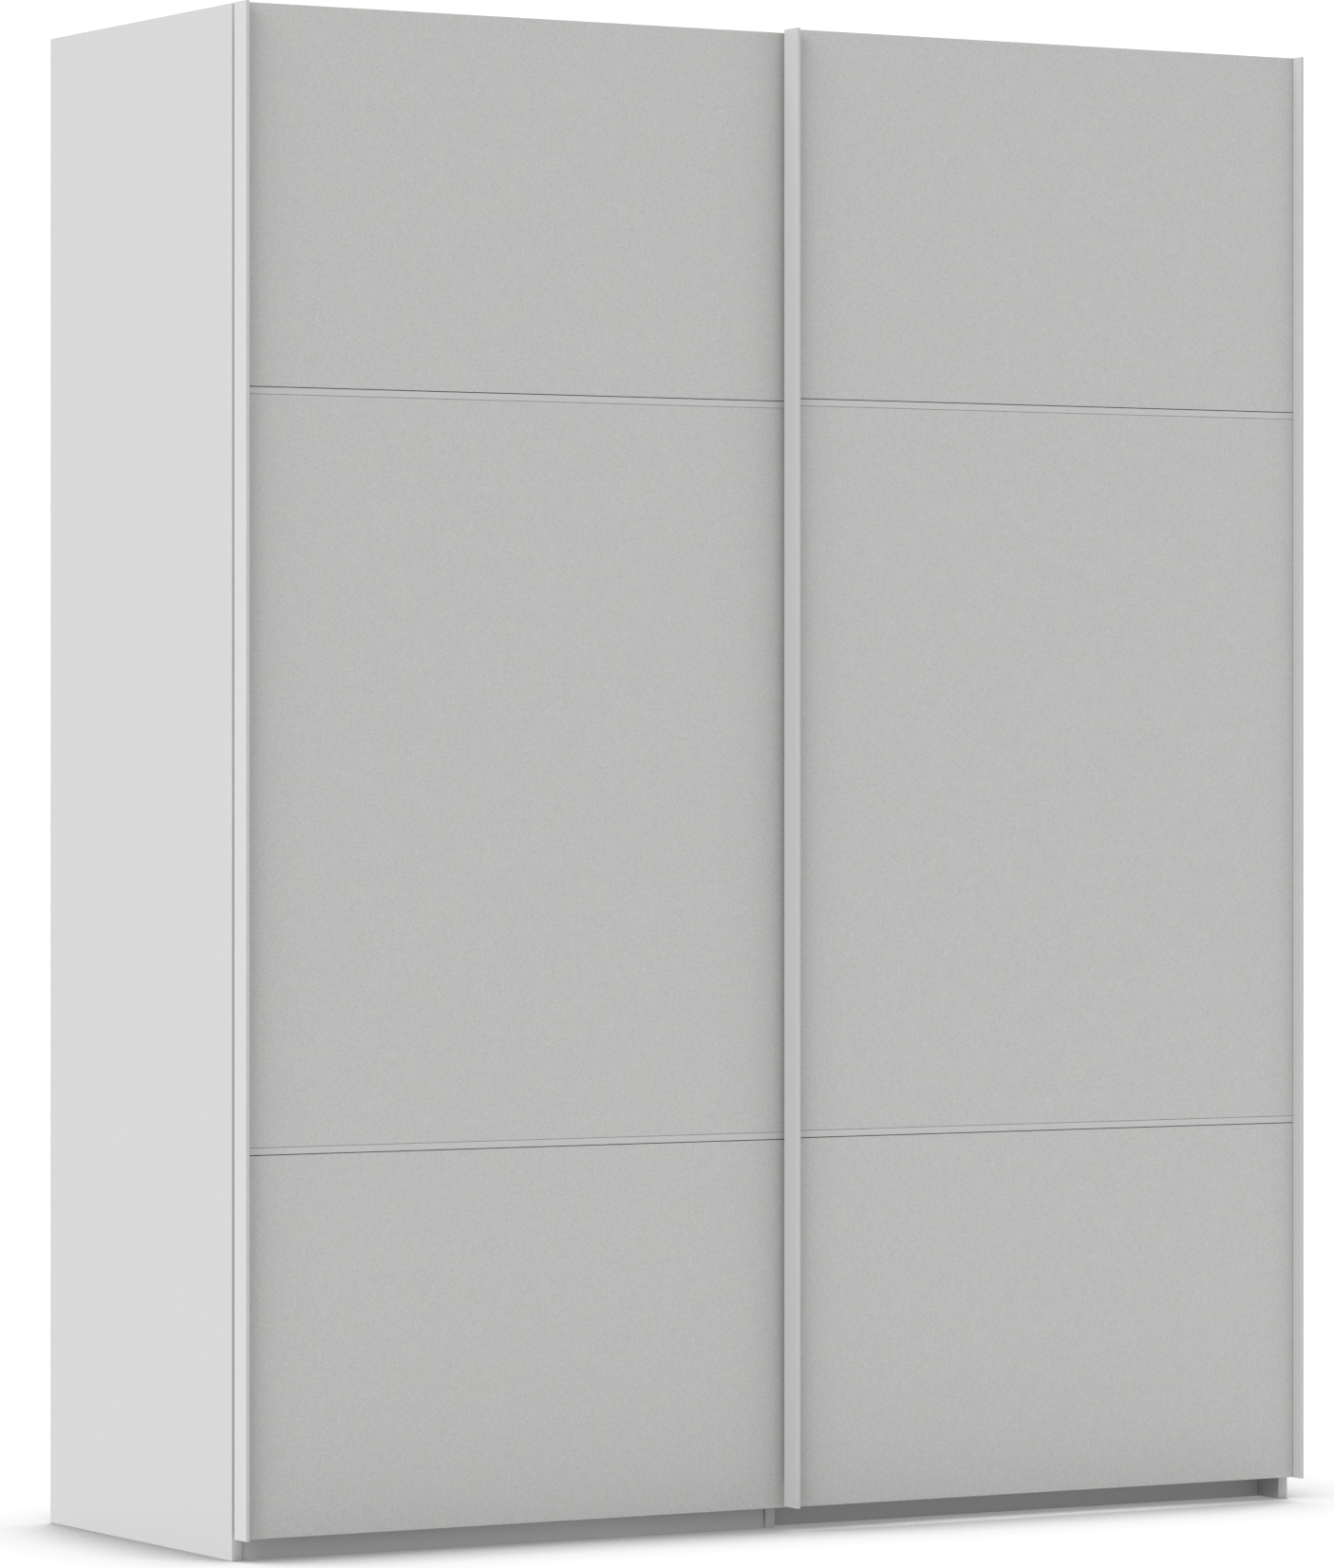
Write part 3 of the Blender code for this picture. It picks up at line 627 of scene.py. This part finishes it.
def drilled_board(name, faces):
    """Stands for a board of the frame, with the rows of blind holes really drilled in its faces."""
    shape = bmesh.new()
    shape.from_mesh(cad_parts[name].data)
    bmesh.ops.remove_doubles(shape, verts=shape.verts, dist=MERGE)
    board = new_piece(name + "_drilled", shape, "open_board", "cabinet", smooth=False)
    cutter = drill_at(faces)
    step = board.modifiers.new("Holes", "BOOLEAN")
    step.operation = "DIFFERENCE"
    step.solver = "EXACT"
    step.object = cutter
    bpy.context.view_layer.update()
    graph = bpy.context.evaluated_depsgraph_get()
    drilled = bpy.data.meshes.new_from_object(board.evaluated_get(graph))
    board.modifiers.clear()
    board.data = drilled
    bpy.data.objects.remove(cutter)
    drilled.materials.clear()
    drilled.materials.append(MATERIALS["open_board"])
    drilled.materials.append(MATERIALS["chip"])
    low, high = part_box(name)
    for face in drilled.polygons:
        middle = face.center
        inside = all(low[axis] + HOLE_SKIN < middle[axis] < high[axis] - HOLE_SKIN for axis in range(3))
        face.material_index = 1 if inside else 0
    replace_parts(board, name)


def build_drilled_boards():
    drilled_board("side_panel_left", [(INNER_LEFT, 1)])
    drilled_board("side_panel_right", [(INNER_RIGHT, -1)])
    drilled_board("centre_partition", [(PARTITION_LEFT, -1), (PARTITION_RIGHT, 1)])


def build_shelf_pins():
    """Four steel pins under each shelf, pushed into the holes at its ends."""
    foot = PIN_END_GAP - PIN_DEPTH
    pin = [(0.0, foot), (PIN_RADIUS, foot), (PIN_RADIUS, PIN_REACH - PIN_CHAMFER)]
    pin += [(PIN_RADIUS - PIN_CHAMFER, PIN_REACH), (0.0, PIN_REACH)]
    for shelf in SHELVES:
        low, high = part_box(shelf)
        level = low.z - PIN_RADIUS - PIN_GAP
        on_left = high.x < PARTITION_RIGHT
        left_end, right_end = (INNER_LEFT, PARTITION_LEFT) if on_left else (PARTITION_RIGHT, INNER_RIGHT)
        shape = bmesh.new()
        for row in PIN_ROWS:
            for x, direction in ((left_end, 1), (right_end, -1)):
                lathe(shape, pin, (x, CARCASS_FRONT + row, level), (direction, 0, 0))
        new_piece(shelf + "_pins", shape, "steel", "cabinet")


# ---------------------------------------------------------------- carcass details


def build_edge_bands():
    """A plastic band on the front edge of each board that shows one."""
    for name in BANDED:
        low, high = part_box(name)
        top = high.z
        if name == "centre_partition":
            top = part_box("fascia_left")[0].z - BAND_FASCIA_GAP
        upright = high.x - low.x < high.z - low.z
        wider, taller = (BAND_PROUD, -BAND_SHORT_UPRIGHT) if upright else (-BAND_SHORT_FLAT, BAND_PROUD)
        start = (low.x - wider, low.y - BAND_PROUD, low.z - taller)
        end = (high.x + wider, low.y + BAND_DEPTH, top + taller)
        shape = bmesh.new()
        add_box(shape, start, end, BAND_ROUNDING)
        new_piece(name + "_band", shape, "band", "cabinet")


def build_cover_caps():
    """Cover caps over the connectors in the fixed boards."""
    profile = domed_head(CAP_RADIUS, CAP_HEIGHT, CAP_RECESS)
    for name, board, up in (
        ("left", "bottom_panel_left", 1),
        ("right", "bottom_panel_right", 1),
        ("top", "top_panel", -1),
    ):
        low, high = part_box(board)
        level = high.z if up > 0 else low.z
        across = (low.x + CAP_FROM_END, high.x - CAP_FROM_END)
        along = (low.y + CAP_FROM_EDGE, high.y - CAP_FROM_EDGE)
        places = [(x, y, level) for x in across for y in along]
        joined_heads("cover_caps_" + name, places, profile, (0, 0, up), "cap", "cabinet", CAP_STEPS)


def build_back_nails():
    """Nails through the back boards into the partition, top, floors and shelves."""
    profile = domed_head(NAIL_RADIUS, NAIL_HEIGHT)
    for side, shelves in (("left", SHELVES[:1]), ("right", SHELVES[1:])):
        for half in ("lower", "upper"):
            low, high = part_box("back_panel_" + half + "_" + side)
            inner = high.x - NAIL_EDGE if side == "left" else low.x + NAIL_EDGE
            outer = low.x + NAIL_EDGE if side == "left" else high.x - NAIL_EDGE
            start = min(inner, outer) + NAIL_ROW_END
            end = max(inner, outer) - NAIL_ROW_END
            levels = spaced(low.z + NAIL_ROW_END, high.z - NAIL_ROW_END, NAIL_PITCH)
            heads = [(inner, high.y, level) for level in levels]
            for board in (*shelves, "bottom_panel_" + side, "top_panel"):
                row = mid_height(board)
                if low.z + NAIL_ROW_MARGIN < row < high.z - NAIL_ROW_MARGIN:
                    heads += [(x, high.y, row) for x in spaced(start, end, NAIL_PITCH)]
            name = "back_nails_" + half + "_" + side
            joined_heads(name, heads, profile, (0, 1, 0), "steel", "cabinet", NAIL_STEPS)


def build_rail():
    """The oval chrome tube, smooth all round, in place of the faceted one."""
    low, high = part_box("clothes_rail")
    middle = (low + high) / 2
    half_depth = (high.y - low.y) / 2
    half_height = (high.z - low.z) / 2
    shape = bmesh.new()
    rings = []
    for x, inset in ((low.x, RAIL_WALL), (low.x, 0.0), (high.x, 0.0), (high.x, RAIL_WALL)):
        ring = []
        for step in range(ROUND_STEPS):
            angle = 2 * math.pi * step / ROUND_STEPS
            y = middle.y + (half_depth - inset) * math.cos(angle)
            z = middle.z + (half_height - inset) * math.sin(angle)
            ring.append(shape.verts.new((x, y, z)))
        rings.append(ring)
    for first, second in zip(rings, rings[1:] + rings[:1]):
        for index in range(ROUND_STEPS):
            after = (index + 1) % ROUND_STEPS
            shape.faces.new((first[index], first[after], second[after], second[index]))
    rail = new_piece("clothes_rail_tube", shape, "chrome", "cabinet")
    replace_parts(rail, "clothes_rail")


def build_bracket_screws():
    """Two screws through the plate of each rail bracket."""
    profile = domed_head(*BRACKET_SCREW)
    for side, direction in (("left", 1), ("right", -1)):
        low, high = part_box("rail_bracket_" + side)
        face = low.x + BRACKET_PLATE if direction > 0 else high.x - BRACKET_PLATE
        middle = (low + high) / 2
        places = [(face, middle.y, z) for z in (low.z + BRACKET_SCREW_EDGE, high.z - BRACKET_SCREW_EDGE)]
        joined_heads("rail_bracket_screws_" + side, places, profile, (direction, 0, 0), "steel", "cabinet")


def build_track_screws():
    """Screws through the back flange of the running track into the fascia."""
    low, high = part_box("running_track")
    across = spaced(low.x + TRACK_SCREW_END, high.x - TRACK_SCREW_END, TRACK_SCREW_PITCH)
    places = [(x, high.y - TRACK_FLANGE, high.z - TRACK_SCREW_DROP) for x in across]
    joined_heads("track_screws", places, domed_head(*WIDE_SCREW), (0, -1, 0), "steel", "cabinet")


def build_guide_screws():
    """Two screws through the plate of the floor guide."""
    low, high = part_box("guide_block")
    x = (low.x + high.x) / 2
    plate_front = high.y - GUIDE_PLATE
    places = [(x, plate_front, z) for z in (low.z + GUIDE_SCREW_EDGE, high.z - GUIDE_SCREW_EDGE)]
    joined_heads("guide_block_screws", places, domed_head(*GUIDE_SCREW), (0, -1, 0), "steel", "cabinet")


# ---------------------------------------------------------------- running gear


def build_hanger_screws(door):
    """Four screws through each hanger plate into the door."""
    profile = domed_head(*WIDE_SCREW)
    plate_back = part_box(door + "_panel_upper")[1].y + HANGER_GAP + HANGER_PLATE
    for side in ("left", "right"):
        low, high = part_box(door + "_hanger_" + side)
        middle = (low.x + high.x) / 2
        places = [
            (middle + across, plate_back, low.z + up)
            for across in HANGER_SCREWS_ACROSS
            for up in HANGER_SCREWS_UP
        ]
        joined_heads(door + "_hanger_screws_" + side, places, profile, (0, 1, 0), "steel", door)


def there_and_back(profile):
    """The profile, its mirror image across the middle of the axis, and the first corner again."""
    return profile + [(radius, -height) for radius, height in reversed(profile)] + profile[:1]


def build_roller(door, side):
    """A grooved nylon tyre with studs on its web, round a steel bearing, in place of the plain roller."""
    node_name = door + "_roller_" + side
    low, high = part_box(node_name)
    middle = (low + high) / 2
    face = -(high.y - low.y) / 2
    radius = (high.z - low.z) / 2
    web = face + WEB_DEPTH
    web_inner = HUB_RADIUS + HUB_WALL
    web_outer = radius - RIM_WALL

    tyre = [(HUB_RADIUS, face), (web_inner, face), (web_inner + WEB_DRAFT, web), (web_outer - WEB_DRAFT, web)]
    tyre += [(web_outer, face), (radius - TYRE_CHAMFER, face), (radius, face + TYRE_CHAMFER)]
    tyre += [(radius, -GROOVE_HALF), (radius - GROOVE_DEPTH, GROOVE_SLOPE - GROOVE_HALF)]
    shape = bmesh.new()
    lathe(shape, there_and_back(tyre), middle, (0, 1, 0), ROUND_STEPS)
    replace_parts(new_piece(node_name + "_tyre", shape, "nylon", node_name), node_name)

    shield = face + SHIELD_DEPTH
    bearing = [(BORE_RADIUS, face), (INNER_RING, face), (INNER_RING + SHIELD_GAP, shield)]
    bearing += [(OUTER_RING - SHIELD_GAP, shield), (OUTER_RING, face), (HUB_RADIUS, face)]
    shape = bmesh.new()
    lathe(shape, there_and_back(bearing), middle, (0, 1, 0), ROUND_STEPS)
    new_piece(node_name + "_bearing", shape, "steel", node_name)

    stud = [(0.0, STUD_HEIGHT), (STUD_TOP, STUD_HEIGHT), (STUD_RADIUS, 0.0), (0.0, -STUD_HEIGHT)]
    reach = (web_inner + web_outer) / 2
    shape = bmesh.new()
    for direction in (-1, 1):
        for index in range(STUDS):
            angle = 2 * math.pi * index / STUDS
            offset = Vector((reach * math.cos(angle), -direction * web, reach * math.sin(angle)))
            lathe(shape, stud, middle + offset, (0, direction, 0), STUD_STEPS)
    new_piece(node_name + "_studs", shape, "nylon", node_name)


def build_running_gear():
    for door in ("rear_door", "front_door"):
        build_hanger_screws(door)
        for side in ("left", "right"):
            build_roller(door, side)


# ---------------------------------------------------------------- studio


def floor_paper():
    """White paper that glows evenly further off, its glow darkened by painted shade close to what stands on
    it.
    """
    made, tree, shader = shader_tree("floor_paper")
    # painted shade: ambient occlusion near the wardrobe dims the paper's glow and stands in for its contact
    # shadow
    near = node(tree, "AmbientOcclusion", {"samples": FLOOR_SHADE_SAMPLES}, Distance=FLOOR_REACH)
    shade = ramp(tree, near.outputs["AO"], *[(openness, (level,) * 3) for openness, level in FLOOR_SHADE])
    tree.links.new(shade, shader.inputs["Emission Color"])
    shader.inputs["Emission Strength"].default_value = 1.0
    shader.inputs["Base Color"].default_value = (0.0, 0.0, 0.0, 1.0)
    shader.inputs["Roughness"].default_value = 0.9
    shader.inputs["Specular IOR Level"].default_value = 0.0
    return made


def build_floor():
    """A near piece under and in front of the wardrobe, and a wide one round it.

    The wide one throws up no light of its own: the ground light of the sky stands for it.
    """
    paper = floor_paper()
    across = (-FLOOR_SIZE / 2, cad_low.x, cad_high.x, FLOOR_SIZE / 2)
    along = (-FLOOR_SIZE / 2, cad_low.y - NEAR_FLOOR, cad_high.y, FLOOR_SIZE / 2)
    for name, is_near in (("floor_near", True), ("floor_wide", False)):
        shape = bmesh.new()
        corners = [[shape.verts.new((x, y, 0.0)) for y in along] for x in across]
        for column in range(3):
            for row in range(3):
                if ((column, row) == (1, 1)) == is_near:
                    left, right = corners[column], corners[column + 1]
                    shape.faces.new((left[row], right[row], right[row + 1], left[row + 1]))
        data = bpy.data.meshes.new(name)
        shape.to_mesh(data)
        shape.free()
        data.materials.append(paper)
        floor = bpy.data.objects.new(name, data)
        floor.location = (0.0, 0.0, -FLOOR_DROP)
        floor.visible_diffuse = is_near
        bpy.context.scene.collection.objects.link(floor)


def build_light():
    """A white horizon that dims overhead, and three soft suns."""
    world = bpy.data.worlds.new("studio")
    bpy.context.scene.world = world
    world.use_nodes = True
    tree = world.node_tree
    backdrop = tree.nodes["Background"]
    direction = node(tree, "TexCoord").outputs["Generated"]
    height = node(tree, "SeparateXYZ", Vector=direction).outputs["Z"]
    levels = (GROUND_LIGHT, HORIZON_LIGHT, HORIZON_LIGHT, OVERHEAD_LIGHT)
    brightest = max(levels)
    stops = [((place + 1) / 2, (level / brightest,) * 3) for place, level in zip(SKY_STOPS, levels)]
    raised = node(tree, "MapRange", Value=height, From_Min=-1.0, From_Max=1.0)
    sky = ramp(tree, raised.outputs["Result"], *stops)
    tree.links.new(sky, backdrop.inputs["Color"])
    backdrop.inputs["Strength"].default_value = brightest
    for name, (irradiance, spread, elevation, bearing) in SUNS.items():
        data = bpy.data.lights.new(name, "SUN")
        data.energy = irradiance * math.pi
        data.angle = math.radians(spread)
        sun = bpy.data.objects.new(name, data)
        up = math.radians(elevation)
        side = math.radians(bearing)
        toward = Vector((-math.cos(up) * math.sin(side), -math.cos(up) * math.cos(side), math.sin(up)))
        sun.rotation_euler = toward.to_track_quat("Z", "Y").to_euler()
        bpy.context.scene.collection.objects.link(sun)


def build_camera():
    """The camera, level and turned to the right, with a small shift for the framing."""
    data = bpy.data.cameras.new("photo_camera")
    data.lens = LENS
    data.sensor_width = SENSOR_WIDTH
    data.shift_x = SHIFT_X
    data.shift_y = SHIFT_Y
    data.clip_end = FAR_CLIP
    camera = bpy.data.objects.new("photo_camera", data)
    camera.location = CAMERA_PLACE
    camera.rotation_euler = (math.pi / 2, 0.0, math.radians(CAMERA_TURN))
    bpy.context.scene.collection.objects.link(camera)
    bpy.context.scene.camera = camera


finish_frame()
build_drilled_boards()
build_shelf_pins()
build_edge_bands()
build_cover_caps()
build_back_nails()
build_rail()
build_bracket_screws()
build_track_screws()
build_guide_screws()
build_running_gear()
build_floor()
build_light()
build_camera()
bpy.context.scene.view_settings.view_transform = "Standard"
